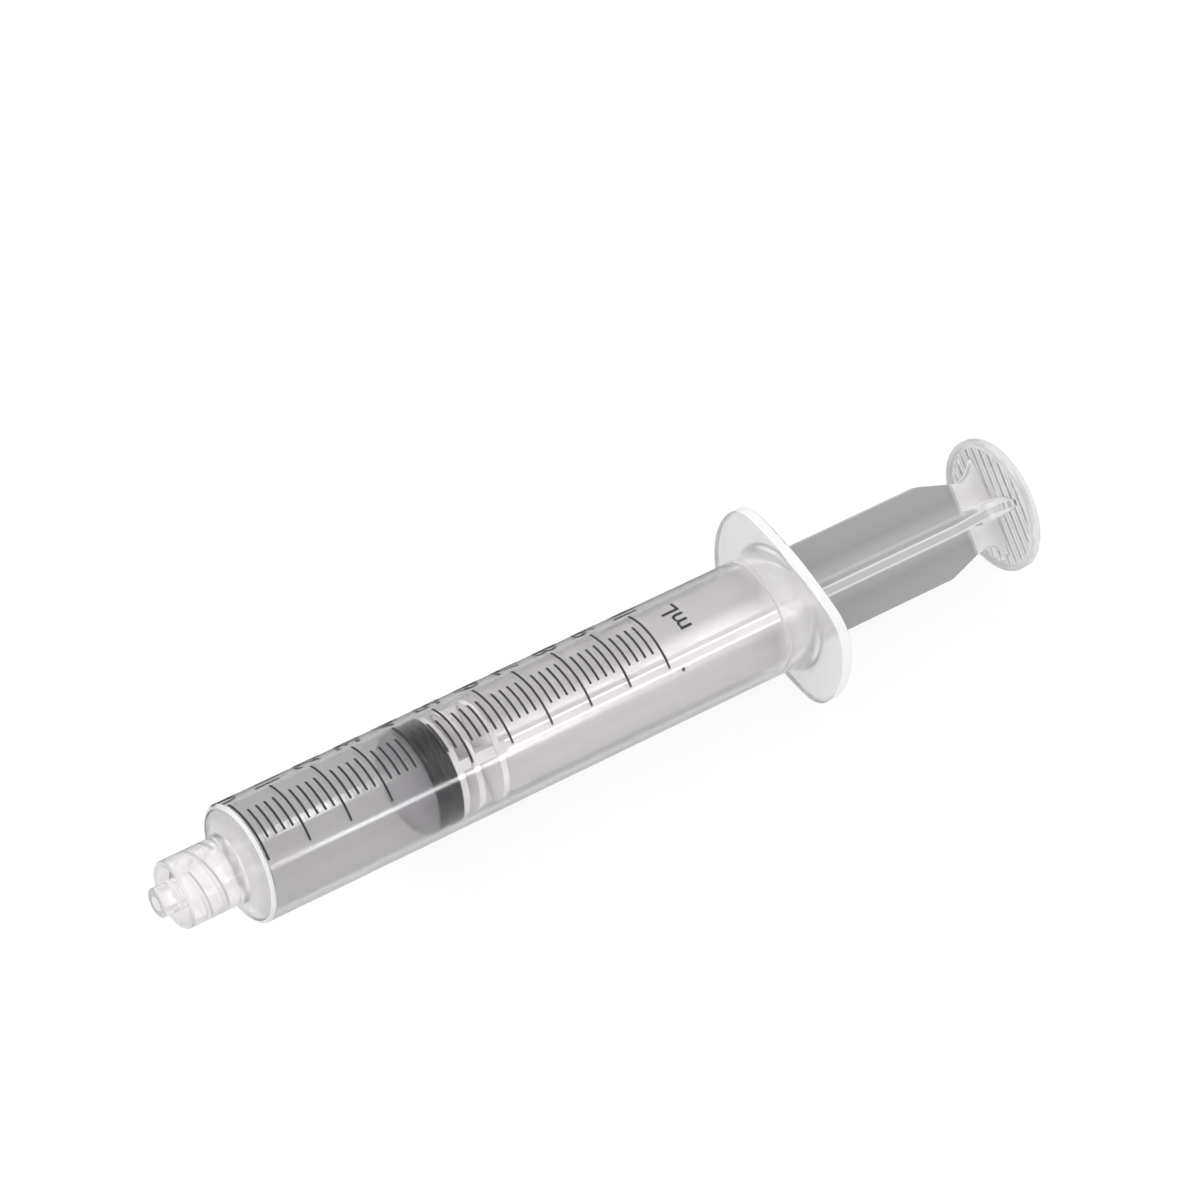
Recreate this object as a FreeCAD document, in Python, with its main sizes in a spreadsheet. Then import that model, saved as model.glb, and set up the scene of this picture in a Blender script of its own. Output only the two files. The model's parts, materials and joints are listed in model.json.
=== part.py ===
"""Three-piece 10 mL syringe with a locking nozzle: barrel, rubber stopper, plunger rod and printed scale.

Millimetres. The origin is the centre of the nozzle mouth. +X runs along the axis to the thumb rest,
+Y along the finger flange, and +Z up through the middle of the printed scale.
"""
import FreeCAD, Part
import math
import os
import Sketcher

doc = FreeCAD.newDocument("Syringe")

# How far a measured place may lie from the one looked for
CLOSE = 1e-3

# Driving dimensions: alias, value, meaning
SIZES = [
    ("bore_dia", 14.43, "barrel bore: sets how long one millilitre is"),
    ("barrel_wall", 0.885, "barrel wall"),
    ("end_wall", 0.99, "end wall of the barrel, measured along the axis"),
    ("end_slope", 24.0, "slope of the barrel's end wall and of the stopper's nose, degrees"),
    ("shoulder_radius", 0.45, "rounding of the shoulder"),
    ("channel_dia", 2.0, "fluid channel in the nozzle"),
    ("nozzle_tip_dia", 3.95, "nozzle at its mouth"),
    ("nozzle_taper", 0.06, "gain in nozzle diameter for each millimetre of length"),
    ("nozzle_reach", 2.4, "nozzle beyond the lock collar"),
    ("nozzle_edge", 0.25, "rounding of the nozzle mouth"),
    ("collar_dia", 9.2, "lock collar outside"),
    ("collar_wall", 0.6, "lock collar wall"),
    ("collar_depth", 7.0, "lock collar inside depth"),
    ("collar_web", 1.25, "from the collar's floor to the foot of the end wall"),
    ("collar_lip", 0.35, "rounding of the collar's front edge"),
    ("collar_root", 0.6, "fillet between the collar and the end wall"),
    ("thread_lead", 5.0, "advance of the lock thread in one turn"),
    ("thread_height", 0.48, "height of the thread above the collar's inner wall"),
    ("thread_crest", 0.45, "width of the thread at its crest"),
    ("thread_foot", 1.0, "width of the thread at its foot"),
    ("thread_setback", 1.0, "from the collar's front edge to the start of the thread"),
    ("thread_turns", 0.95, "turns of each of the two thread starts"),
    ("scale_volume", 10.0, "nominal volume in millilitres"),
    ("scale_step", 0.2, "volume between two marks in millilitres"),
    ("mark_width", 0.33, "width of a printed mark"),
    ("mark_thickness", 0.03, "thickness of the ink"),
    ("long_mark_angle", 71.0, "angle that a whole-millilitre mark spans"),
    ("short_mark_angle", 34.5, "angle that a mark between them spans"),
    ("run_out", 22.1, "from the last mark to the flange"),
    ("flange_thickness", 1.7, "finger flange"),
    ("flange_length", 27.9, "finger flange, end to end"),
    ("flange_width", 19.05, "finger flange, across its middle"),
    ("flange_bow", 50.0, "radius of the flange's long sides"),
    ("flange_flat", 6.0, "flat in the middle of each long side, which keeps the syringe from rolling"),
    ("flange_corner", 5.6, "radius of the flange's corners"),
    ("flange_root", 1.9, "fillet between the barrel and the flange"),
    ("flange_edge", 0.4, "rounding of the flange's rear edge"),
    ("bore_mouth", 0.6, "chamfer at the open end of the bore"),
    ("bead_height", 0.22, "retaining bead in the bore"),
    ("bead_setback", 5.5, "from the open end to the retaining bead"),
    ("seal_gap", 0.03, "between a sealing rib and the bore, for a running fit"),
    ("seal_width", 1.3, "width of a sealing rib"),
    ("seal_groove", 0.5, "depth of the groove between the sealing ribs"),
    ("seal_edge", 0.2, "rounding of a sealing rib"),
    ("stopper_length", 3.85, "cylindrical part of the stopper"),
    ("nose_tip_dia", 2.6, "flat tip of the stopper's nose"),
    ("head_dia", 7.2, "snap head of the plunger rod"),
    ("head_length", 1.9, "snap head, along the axis"),
    ("neck_dia", 5.0, "neck behind the snap head"),
    ("neck_length", 1.5, "neck, along the axis"),
    ("head_chamfer", 0.9, "lead-in chamfer of the snap head"),
    ("snap_gap", 0.05, "between the rod and the stopper, so that the rod can turn"),
    ("seat_dia", 13.7, "discs of the plunger rod that run in the bore"),
    ("seat_thickness", 1.0, "disc that bears on the stopper"),
    ("guide_thickness", 0.85, "each guide disc"),
    ("first_guide", 2.5, "from the bearing face to the first guide disc"),
    ("second_guide", 6.2, "from the bearing face to the second guide disc"),
    ("rod_length", 90.1, "from the bearing face to the thumb rest"),
    ("rib_span", 13.2, "plunger rod across two ribs"),
    ("rib_thickness", 1.4, "each rib"),
    ("core_dia", 2.4, "round core where the ribs cross"),
    ("waist_span", 9.2, "across two ribs at the waist"),
    ("waist_length", 3.2, "from the waist to the thumb rest"),
    ("waist_taper", 6.3, "length over which the ribs narrow to the waist"),
    ("flare_span", 14.5, "across two ribs where they meet the thumb rest"),
    ("root_pad_thickness", 2.3, "ribs thickened beside the thumb rest"),
    ("root_pad_length", 4.75, "length of the thickened part"),
    ("root_tip_thickness", 0.4, "the thickened ribs at their tips on the thumb rest"),
    ("thumb_dia", 18.75, "thumb rest"),
    ("thumb_thickness", 1.5, "thumb rest"),
    ("thumb_edge", 0.35, "rounding of the thumb rest"),
    ("thumb_rim", 1.05, "plain rim around the ridges"),
    ("ridge_pitch", 1.63, "between two ridges"),
    ("ridge_width", 0.55, "each ridge"),
    ("ridge_height", 0.35, "each ridge, above the recessed floor"),
    ("rod_turn", 35.5, "angle of the ribs from the flange, degrees"),
    ("rest_volume", 4.0, "volume at which the stopper rests, in millilitres"),
]

# Sizes that follow from the driving dimensions: alias, formula
WORKED = [
    ("slope", "tan(Sizes.end_slope)"),
    ("bore_r", "Sizes.bore_dia / 2"),
    ("barrel_r", "Sizes.bore_dia / 2 + Sizes.barrel_wall"),
    ("channel_r", "Sizes.channel_dia / 2"),
    ("nozzle_r", "Sizes.nozzle_tip_dia / 2"),
    ("collar_r", "Sizes.collar_dia / 2"),
    ("thread_root_r", "Sizes.collar_dia / 2 - Sizes.collar_wall"),
    ("collar_front", "Sizes.nozzle_reach"),
    ("collar_floor", "Sizes.nozzle_reach + Sizes.collar_depth"),
    ("nozzle_foot_r", "nozzle_r + Sizes.nozzle_taper / 2 * collar_floor"),
    ("end_foot", "collar_floor + Sizes.collar_web"),
    ("shoulder", "end_foot + (barrel_r - collar_r) * slope"),
    ("zero_mark", "shoulder - Sizes.barrel_wall * slope + Sizes.end_wall"),
    ("channel_end", "zero_mark - (bore_r - channel_r) * slope"),
    ("ml_length", "1000 / (pi * bore_r ^ 2)"),
    ("last_mark", "zero_mark + Sizes.scale_volume * ml_length"),
    ("flange_front", "last_mark + Sizes.run_out"),
    ("flange_rear", "flange_front + Sizes.flange_thickness"),
    ("flange_r", "Sizes.flange_length / 2"),
    ("bow_centre", "Sizes.flange_bow - Sizes.flange_width / 2"),
    ("bow_reach", "flange_r + Sizes.flange_thickness"),
    ("bow_end", "sqrt(Sizes.flange_bow ^ 2 - bow_reach ^ 2) - bow_centre"),
    ("flat_half", "Sizes.flange_flat / 2"),
    ("flat_height", "sqrt(Sizes.flange_bow ^ 2 - flat_half ^ 2) - bow_centre"),
    ("bead_at", "flange_rear - Sizes.bead_setback"),
    ("seal_r", "bore_r - Sizes.seal_gap"),
    ("groove_r", "seal_r - Sizes.seal_groove"),
    ("nose_tip_r", "Sizes.nose_tip_dia / 2"),
    ("nose_height", "(seal_r - nose_tip_r) * slope"),
    ("head_r", "Sizes.head_dia / 2"),
    ("neck_r", "Sizes.neck_dia / 2"),
    ("head_front", "Sizes.neck_length + Sizes.head_length"),
    ("lead_edge", "zero_mark + Sizes.rest_volume * ml_length"),
    ("bearing_face", "lead_edge + Sizes.stopper_length + Sizes.snap_gap"),
    ("seat_r", "Sizes.seat_dia / 2"),
    ("core_r", "Sizes.core_dia / 2"),
    ("rib_r", "Sizes.rib_span / 2"),
    ("waist_r", "Sizes.waist_span / 2"),
    ("waist_at", "Sizes.rod_length - Sizes.waist_length"),
    ("taper_at", "waist_at - Sizes.waist_taper"),
    ("flare_r", "Sizes.flare_span / 2"),
    ("flare_radius", "(Sizes.waist_length ^ 2 + (flare_r - waist_r) ^ 2) / (2 * (flare_r - waist_r))"),
    ("root_at", "Sizes.rod_length - Sizes.root_pad_length"),
    ("arm_end_r", "flare_r + Sizes.root_tip_thickness"),
    ("thumb_r", "Sizes.thumb_dia / 2"),
    ("thumb_rear", "Sizes.rod_length + Sizes.thumb_thickness"),
    ("ridge_floor_r", "thumb_r - Sizes.thumb_rim"),
    ("ridge_end_r", "thumb_r - Sizes.thumb_rim / 2"),
]


def fill_sheet(label, rows, formula=False):
    """A spreadsheet with one aliased value on each row."""
    made = doc.addObject("Spreadsheet::Sheet", label)
    for row, entry in enumerate(rows, start=1):
        alias, value = entry[0], entry[1]
        made.set(f"A{row}", alias)
        made.set(f"B{row}", f"={value}" if formula else str(value))
        made.setAlias(f"B{row}", alias)
        if len(entry) > 2:
            made.set(f"C{row}", entry[2])
    doc.recompute()
    return made


sizes = fill_sheet("Sizes", SIZES)
worked = fill_sheet("Worked", WORKED, formula=True)


def value_of(formula):
    """What a formula on the two sheets gives now, as a plain number."""
    found = sizes.evalExpression(str(formula))
    return float(getattr(found, "Value", found))


def new_body(name):
    body = doc.addObject("PartDesign::Body", name)
    body.Label = name
    return body


def plane_of(body, role):
    return next(item for item in body.Origin.OriginFeatures if item.Role == role)


def new_sketch(body, name, role, offset=None):
    """A sketch on one of the body's own planes, moved along the plane's normal by a formula."""
    sketch = body.newObject("Sketcher::SketchObject", name)
    sketch.AttachmentSupport = [(plane_of(body, role), "")]
    sketch.MapMode = "FlatFace"
    if offset:
        sketch.setExpression("AttachmentOffset.Base.z", offset)
    doc.recompute()
    return sketch


def hold(sketch, edge, end, across, up):
    """Ties one end of an edge to formulas for its two coordinates."""
    for kind, axis, formula in (("DistanceX", -2, across), ("DistanceY", -1, up)):
        number = value_of(formula)
        if formula == "0":
            sketch.addConstraint(Sketcher.Constraint("PointOnObject", edge, end, axis))
            continue
        place = sketch.addConstraint(Sketcher.Constraint(kind, -1, 1, edge, end, number))
        sketch.setExpression(f"Constraints[{place}]", formula)


def closed_outline(sketch, corners):
    """A closed outline of corners (across, up[, radius of the arc that leaves it, side]).

    A radius makes the edge that leaves the corner an arc: side 1 has its centre to the left of the
    way to the next corner, side -1 to the right.
    """
    points = [FreeCAD.Vector(value_of(c[0]), value_of(c[1]), 0) for c in corners]
    first = sketch.GeometryCount
    for here, corner in enumerate(corners):
        start, end = points[here], points[(here + 1) % len(points)]
        if len(corner) == 2:
            sketch.addGeometry(Part.LineSegment(start, end), False)
            continue
        radius, side = value_of(corner[2]), corner[3]
        chord = end - start
        half = chord.Length / 2
        left = FreeCAD.Vector(-chord.y, chord.x, 0).normalize()
        centre = (start + end) * 0.5 + left * (side * math.sqrt(radius ** 2 - half ** 2))
        middle = centre - left * (side * radius)
        sketch.addGeometry(Part.Arc(start, middle, end), False)
    for here, corner in enumerate(corners):
        edge = first + here
        following = first + (here + 1) % len(corners)
        turned = len(corner) > 2 and corner[3] < 0
        start_end = 2 if turned else 1
        next_corner = corners[(here + 1) % len(corners)]
        next_turned = len(next_corner) > 2 and next_corner[3] < 0
        sketch.addConstraint(Sketcher.Constraint(
            "Coincident", edge, 3 - start_end, following, 2 if next_turned else 1))
        hold(sketch, edge, start_end, corner[0], corner[1])
        if len(corner) > 2:
            place = sketch.addConstraint(
                Sketcher.Constraint("Radius", edge, value_of(corner[2])))
            sketch.setExpression(f"Constraints[{place}]", corner[2])
    doc.recompute()
    return sketch


def revolve(body, name, corners, angle=None):
    """A profile in the XZ plane, turned about X: across is along X, up is the radius."""
    sketch = closed_outline(new_sketch(body, f"{name}_profile", "XZ_Plane"), corners)
    made = body.newObject("PartDesign::Revolution", name)
    made.Profile = sketch
    made.ReferenceAxis = (sketch, ["H_Axis"])
    if angle:
        made.Midplane = True
        made.setExpression("Angle", angle)
    doc.recompute()
    return made


def pad(body, sketch, name, length, symmetric=False):
    made = body.newObject("PartDesign::Pad", name)
    made.Profile = sketch
    made.setExpression("Length", length)
    if symmetric:
        made.SideType = "Symmetric"
    doc.recompute()
    return made


def pocket(body, sketch, name, length, towards_rear):
    """Cuts along X: towards_rear says which side of the sketch loses material."""
    made = body.newObject("PartDesign::Pocket", name)
    made.Profile = sketch
    made.setExpression("Length", length)
    made.Reversed = towards_rear
    before = made.BaseFeature.Shape.Volume
    doc.recompute()
    if made.Shape.Volume >= before:
        raise RuntimeError(f"{name} cuts nothing")
    return made


def ring_edges(shape, at, radius):
    """Names of the circular edges about X at a place on the axis with a radius."""
    found = []
    for number, edge in enumerate(shape.Edges, start=1):
        if not isinstance(edge.Curve, Part.Circle):
            continue
        centre = edge.Curve.Center
        on_axis = math.hypot(centre.y, centre.z) < CLOSE
        if on_axis and abs(centre.x - at) < CLOSE and abs(edge.Curve.Radius - radius) < CLOSE:
            found.append(f"Edge{number}")
    if not found:
        raise RuntimeError(f"no edge at {at:.3f} with radius {radius:.3f}")
    return found


def round_edges(body, name, edges, radius):
    base = body.Tip
    made = body.newObject("PartDesign::Fillet", name)
    made.Base = (base, edges)
    made.setExpression("Radius", radius)
    doc.recompute()
    return made


def round_ring(body, name, at, radius, rounding):
    """Rounds the circular edge at a place and radius given by formulas."""
    edges = ring_edges(body.Tip.Shape, value_of(at), value_of(radius))
    return round_edges(body, name, edges, rounding)


def pattern(body, kind, name, originals, axis, count, **extent):
    """A linear or polar pattern of features of the body."""
    made = body.newObject(f"PartDesign::{kind}", name)
    made.Originals = originals
    setattr(made, "Direction" if kind == "LinearPattern" else "Axis", axis)
    made.setExpression("Occurrences", str(count))
    for key, formula in extent.items():
        made.setExpression(key, str(formula))
    body.Tip = made
    doc.recompute()
    return made


def make_barrel():
    """Barrel, nozzle, lock collar and finger flange: one clear moulding."""
    body = new_body("barrel")
    revolve(body, "barrel_turned", [
        ("0", "Worked.channel_r"),
        ("0", "Worked.nozzle_r"),
        ("Worked.collar_floor", "Worked.nozzle_foot_r"),
        ("Worked.collar_floor", "Worked.thread_root_r"),
        ("Worked.collar_front", "Worked.thread_root_r"),
        ("Worked.collar_front", "Worked.collar_r"),
        ("Worked.end_foot", "Worked.collar_r"),
        ("Worked.shoulder", "Worked.barrel_r"),
        ("Worked.flange_front - Sizes.flange_root", "Worked.barrel_r", "Sizes.flange_root", 1),
        ("Worked.flange_front", "Worked.barrel_r + Sizes.flange_root"),
        ("Worked.flange_front", "Worked.flange_r"),
        ("Worked.flange_rear", "Worked.flange_r"),
        ("Worked.flange_rear", "Worked.bore_r + Sizes.bore_mouth"),
        ("Worked.flange_rear - Sizes.bore_mouth", "Worked.bore_r"),
        ("Worked.zero_mark", "Worked.bore_r"),
        ("Worked.channel_end", "Worked.channel_r"),
    ])
    cut_flange_sides(body, "flange_side", [
        ("Worked.bow_reach", "Worked.bow_end", "Sizes.flange_bow", 1),
        ("-Worked.bow_reach", "Worked.bow_end"),
        ("-Worked.bow_reach", "Worked.bow_reach"),
        ("Worked.bow_reach", "Worked.bow_reach"),
    ])
    round_edges(body, "flange_corners", flange_corner_edges(body.Tip.Shape), "Sizes.flange_corner")
    round_edges(body, "flange_rear_edge", flange_rear_edges(body.Tip.Shape), "Sizes.flange_edge")
    cut_flange_sides(body, "flange_flat", [
        ("Worked.bow_reach", "Worked.flat_height"),
        ("-Worked.bow_reach", "Worked.flat_height"),
        ("-Worked.bow_reach", "Worked.bow_reach"),
        ("Worked.bow_reach", "Worked.bow_reach"),
    ])
    round_ring(body, "shoulder_round", "Worked.shoulder", "Worked.barrel_r",
               "Sizes.shoulder_radius")
    round_ring(body, "collar_root_fillet", "Worked.end_foot", "Worked.collar_r",
               "Sizes.collar_root")
    round_ring(body, "collar_lip_round", "Worked.collar_front", "Worked.collar_r",
               "Sizes.collar_lip")
    round_ring(body, "nozzle_mouth_round", "0", "Worked.nozzle_r", "Sizes.nozzle_edge")
    revolve(body, "retaining_bead", [
        ("Worked.bead_at - 2 * Sizes.bead_height", "Worked.bore_r"),
        ("Worked.bead_at", "Worked.bore_r - Sizes.bead_height"),
        ("Worked.bead_at + 2 * Sizes.bead_height", "Worked.bore_r"),
        ("Worked.bead_at", "Worked.bore_r + Sizes.bead_height"),
    ])
    make_lock_thread(body)
    return body


def cut_flange_sides(body, name, corners):
    """Cuts an outline from one long side of the flange, and its mirror image from the other."""
    sketch = new_sketch(body, name, "YZ_Plane", "Worked.flange_front - Sizes.flange_root")
    closed_outline(sketch, corners)
    side = pocket(body, sketch, f"{name}_cut",
                  "Sizes.flange_thickness + Sizes.flange_root", towards_rear=True)
    other = body.newObject("PartDesign::Mirrored", f"{name}s")
    other.Originals = [side]
    other.MirrorPlane = (plane_of(body, "XY_Plane"), [""])
    body.Tip = other
    doc.recompute()


def flange_corner_edges(shape):
    """The four straight edges along X where the flange's sides meet its round ends."""
    found = []
    radius = value_of("Worked.flange_r")
    for number, edge in enumerate(shape.Edges, start=1):
        if not isinstance(edge.Curve, (Part.Line, Part.LineSegment)) or len(edge.Vertexes) < 2:
            continue
        first, last = (vertex.Point for vertex in edge.Vertexes)
        straight = math.hypot(first.y - last.y, first.z - last.z) < CLOSE
        if straight and abs(math.hypot(first.y, first.z) - radius) < CLOSE:
            found.append(f"Edge{number}")
    if len(found) != 4:
        raise RuntimeError(f"the flange has {len(found)} corner edges, not 4")
    return found


def flange_rear_edges(shape):
    """The outline of the flange's rear face, without the bore."""
    rear = value_of("Worked.flange_rear")
    mouth = value_of("Worked.bore_r + Sizes.bore_mouth")
    found = []
    for number, edge in enumerate(shape.Edges, start=1):
        middle = edge.valueAt((edge.FirstParameter + edge.LastParameter) / 2)
        in_rear = all(abs(vertex.X - rear) < CLOSE for vertex in edge.Vertexes)
        outside = math.hypot(middle.y, middle.z) > mouth + CLOSE
        if in_rear and outside and abs(middle.x - rear) < CLOSE:
            found.append(f"Edge{number}")
    return found


def make_lock_thread(body):
    """Two-start right-hand thread on the inside of the lock collar."""
    start = "Worked.collar_front + Sizes.thread_setback"
    sunk = "Worked.thread_root_r + Sizes.collar_wall / 4"
    sketch = closed_outline(new_sketch(body, "thread_section", "XZ_Plane"), [
        (start, sunk),
        (f"{start} + Sizes.thread_foot", sunk),
        (f"{start} + (Sizes.thread_foot + Sizes.thread_crest) / 2",
         "Worked.thread_root_r - Sizes.thread_height"),
        (f"{start} + (Sizes.thread_foot - Sizes.thread_crest) / 2",
         "Worked.thread_root_r - Sizes.thread_height"),
    ])
    helix = body.newObject("PartDesign::AdditiveHelix", "thread_start")
    helix.Profile = sketch
    helix.ReferenceAxis = (sketch, ["H_Axis"])
    helix.Mode = "pitch-turns-angle"
    helix.setExpression("Pitch", "Sizes.thread_lead")
    helix.setExpression("Turns", "Sizes.thread_turns")
    helix.LeftHanded = False
    doc.recompute()
    pattern(body, "PolarPattern", "lock_thread", [helix],
            (plane_of(body, "X_Axis"), [""]), 2, Angle=360)


def make_stopper():
    """Rubber stopper: conical nose, two sealing ribs and an undercut cavity for the rod's head."""
    body = new_body("stopper")
    rear = "Sizes.stopper_length"
    gap = "Sizes.snap_gap"
    revolve(body, "stopper_turned", [
        ("-Worked.nose_height", "0"),
        ("-Worked.nose_height", "Worked.nose_tip_r"),
        ("0", "Worked.seal_r"),
        ("Sizes.seal_width", "Worked.seal_r"),
        ("Sizes.seal_width + Sizes.seal_groove / 2", "Worked.groove_r"),
        (f"{rear} - Sizes.seal_width - Sizes.seal_groove / 2", "Worked.groove_r"),
        (f"{rear} - Sizes.seal_width", "Worked.seal_r"),
        (rear, "Worked.seal_r"),
        (rear, f"Worked.neck_r + {gap}"),
        (f"{rear} - Sizes.neck_length + 2 * {gap}", f"Worked.neck_r + {gap}"),
        (f"{rear} - Sizes.neck_length + 2 * {gap}", f"Worked.head_r + {gap}"),
        (f"{rear} - Worked.head_front + Sizes.head_chamfer", f"Worked.head_r + {gap}"),
        (f"{rear} - Worked.head_front", f"Worked.head_r - Sizes.head_chamfer + {gap}"),
        (f"{rear} - Worked.head_front", "0"),
    ])
    round_ring(body, "front_rib_round", "0", "Worked.seal_r", "Sizes.seal_edge")
    round_ring(body, "rear_rib_round", rear, "Worked.seal_r", "Sizes.seal_edge")
    round_ring(body, "nose_round", "-Worked.nose_height", "Worked.nose_tip_r", "Sizes.seal_edge")
    body.setExpression("Placement.Base.x", "Worked.lead_edge")
    doc.recompute()
    return body


def rib_outline(front, front_radius):
    """A rib from a place on the rod to the thumb rest: taper, waist and flare on both sides."""
    upper = [(front, front_radius)]
    if front != "Worked.root_at":
        upper.append(("Worked.taper_at", "Worked.rib_r"))
    upper += [
        ("Worked.waist_at", "Worked.waist_r", "Worked.flare_radius", 1),
        ("Sizes.rod_length", "Worked.flare_r"),
    ]
    lower = [(x, f"-({radius})") for x, radius, *arc in reversed(upper)]
    lower[0] = (lower[0][0], lower[0][1], "Worked.flare_radius", 1)
    return upper + lower


def make_rod():
    """Plunger rod: snap head, bearing and guide discs, four ribs and thumb rest in one moulding."""
    body = new_body("plunger_rod")
    revolve(body, "rod_turned", [
        ("-Worked.head_front", "0"),
        ("-Worked.head_front", "Worked.head_r - Sizes.head_chamfer"),
        ("-Worked.head_front + Sizes.head_chamfer", "Worked.head_r"),
        ("-Sizes.neck_length", "Worked.head_r"),
        ("-Sizes.neck_length", "Worked.neck_r"),
        ("0", "Worked.neck_r"),
        ("0", "Worked.seat_r"),
        ("Sizes.seat_thickness", "Worked.seat_r"),
        ("Sizes.seat_thickness", "Worked.core_r"),
        ("Sizes.first_guide", "Worked.core_r"),
        ("Sizes.first_guide", "Worked.seat_r"),
        ("Sizes.first_guide + Sizes.guide_thickness", "Worked.seat_r"),
        ("Sizes.first_guide + Sizes.guide_thickness", "Worked.core_r"),
        ("Sizes.second_guide", "Worked.core_r"),
        ("Sizes.second_guide", "Worked.seat_r"),
        ("Sizes.second_guide + Sizes.guide_thickness", "Worked.seat_r"),
        ("Sizes.second_guide + Sizes.guide_thickness", "Worked.core_r"),
        ("Sizes.rod_length", "Worked.core_r"),
        ("Sizes.rod_length", "Worked.thumb_r"),
        ("Worked.thumb_rear", "Worked.thumb_r"),
        ("Worked.thumb_rear", "Worked.ridge_floor_r"),
        ("Worked.thumb_rear - Sizes.ridge_height", "Worked.ridge_floor_r"),
        ("Worked.thumb_rear - Sizes.ridge_height", "0"),
    ])
    ribs = closed_outline(new_sketch(body, "rib_outline", "XZ_Plane"),
                          rib_outline("Sizes.seat_thickness / 2", "Worked.rib_r"))
    rib = pad(body, ribs, "rib_pair", "Sizes.rib_thickness", symmetric=True)
    pads = closed_outline(new_sketch(body, "root_outline", "XZ_Plane"),
                          rib_outline("Worked.root_at", taper_height("Worked.root_at")))
    root = pad(body, pads, "rib_root_pair", "Sizes.root_pad_thickness", symmetric=True)
    pattern(body, "PolarPattern", "crossed_ribs", [rib, root],
            (plane_of(body, "X_Axis"), [""]), 2, Angle=90)
    taper_root_arms(body)
    round_ring(body, "thumb_front_round", "Sizes.rod_length", "Worked.thumb_r",
               "Sizes.thumb_edge")
    round_ring(body, "thumb_rear_round", "Worked.thumb_rear", "Worked.thumb_r",
               "Sizes.thumb_edge")
    make_thumb_ridges(body)
    body.Placement = FreeCAD.Placement(FreeCAD.Vector(), FreeCAD.Rotation(FreeCAD.Vector(1, 0, 0), 1))
    body.setExpression("Placement.Base.x", "Worked.bearing_face")
    body.setExpression("Placement.Rotation.Angle", "Sizes.rod_turn")
    doc.recompute()
    return body


def taper_height(at):
    """Half height of a rib on its taper, at a place given by a formula."""
    rise = "(Worked.rib_r - Worked.waist_r) / Sizes.waist_taper"
    return f"Worked.waist_r + (Worked.waist_at - {at}) * {rise}"


def taper_root_arms(body):
    """Thins the four thickened arms beside the thumb rest, from the waist's radius to their tips."""
    sketch = new_sketch(body, "root_arm_corners", "YZ_Plane", "Worked.root_at")
    thick, thin = "Sizes.root_pad_thickness / 2", "Sizes.root_tip_thickness / 2"
    corner = [("Worked.waist_r", thick), ("Worked.arm_end_r", thick), ("Worked.arm_end_r", thin)]
    for way in (1, -1):
        for side in (1, -1):
            arm = [(f"{way} * ({along})", f"{side} * ({aside})") for along, aside in corner]
            closed_outline(sketch, arm)
            closed_outline(sketch, [(aside, along) for along, aside in arm])
    pocket(body, sketch, "root_arm_taper", "Sizes.root_pad_length", towards_rear=True)


def make_thumb_ridges(body):
    """Parallel grip ridges that run into the plain rim of the thumb rest."""
    sketch = new_sketch(body, "ridge_outlines", "YZ_Plane",
                        "Worked.thumb_rear - Sizes.ridge_height - Sizes.thumb_thickness / 4")
    half = "Sizes.ridge_width / 2"
    side_count = int(value_of("(Worked.ridge_floor_r - Sizes.ridge_width) / Sizes.ridge_pitch"))
    for number in range(-side_count, side_count + 1):
        middle = f"{number} * Sizes.ridge_pitch"
        outer = f"({abs(number)} * Sizes.ridge_pitch + {half})"
        reach = f"sqrt(Worked.ridge_end_r ^ 2 - {outer} ^ 2)"
        closed_outline(sketch, [
            (f"-{reach}", f"{middle} - {half}"),
            (reach, f"{middle} - {half}"),
            (reach, f"{middle} + {half}"),
            (f"-{reach}", f"{middle} + {half}"),
        ])
    pad(body, sketch, "grip_ridges", "Sizes.ridge_height + Sizes.thumb_thickness / 4")


def make_scale():
    """Printed marks: a long one at each millilitre and short ones between."""
    body = new_body("graduation_print")
    outer = "Worked.barrel_r + Sizes.mark_thickness"

    def mark(name, volume, angle):
        at = f"(Worked.zero_mark + {volume} * Worked.ml_length)"
        return revolve(body, name, [
            (f"{at} - Sizes.mark_width / 2", "Worked.barrel_r"),
            (f"{at} + Sizes.mark_width / 2", "Worked.barrel_r"),
            (f"{at} + Sizes.mark_width / 2", outer),
            (f"{at} - Sizes.mark_width / 2", outer),
        ], angle)

    axis = (plane_of(body, "X_Axis"), [""])
    step = "Sizes.scale_step * Worked.ml_length"
    long_mark = mark("long_mark", "0", "Sizes.long_mark_angle")
    pattern(body, "LinearPattern", "long_marks", [long_mark], axis,
            "round(Sizes.scale_volume) + 1", Length="round(Sizes.scale_volume) * Worked.ml_length")
    between = "(round(1 / Sizes.scale_step) - 1)"
    for whole in range(round(value_of("Sizes.scale_volume"))):
        short_mark = mark(f"short_mark_{whole}", f"({whole} + Sizes.scale_step)",
                          "Sizes.short_mark_angle")
        pattern(body, "LinearPattern", f"short_marks_{whole}", [short_mark], axis,
                between, Length=f"({between} - 1) * {step}")
    return body


def check(bodies):
    """Stops on any failed feature and on any shape that isn't a sound solid."""
    doc.recompute()
    for item in doc.Objects:
        if "Invalid" in item.State or "Error" in item.State:
            raise RuntimeError(f"{item.Name} failed: {item.State}")
    for body in bodies:
        shape = body.Shape
        if shape.isNull() or not shape.isValid() or not shape.Solids:
            raise RuntimeError(f"{body.Label} is not a sound solid")
        box = shape.BoundBox
        print(f"{body.Label}: {len(shape.Solids)} solid(s), {shape.Volume:.2f} mm3, "
              f"x {box.XMin:.2f} to {box.XMax:.2f}, y {box.YMin:.2f} to {box.YMax:.2f}, "
              f"z {box.ZMin:.2f} to {box.ZMax:.2f}")


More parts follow.
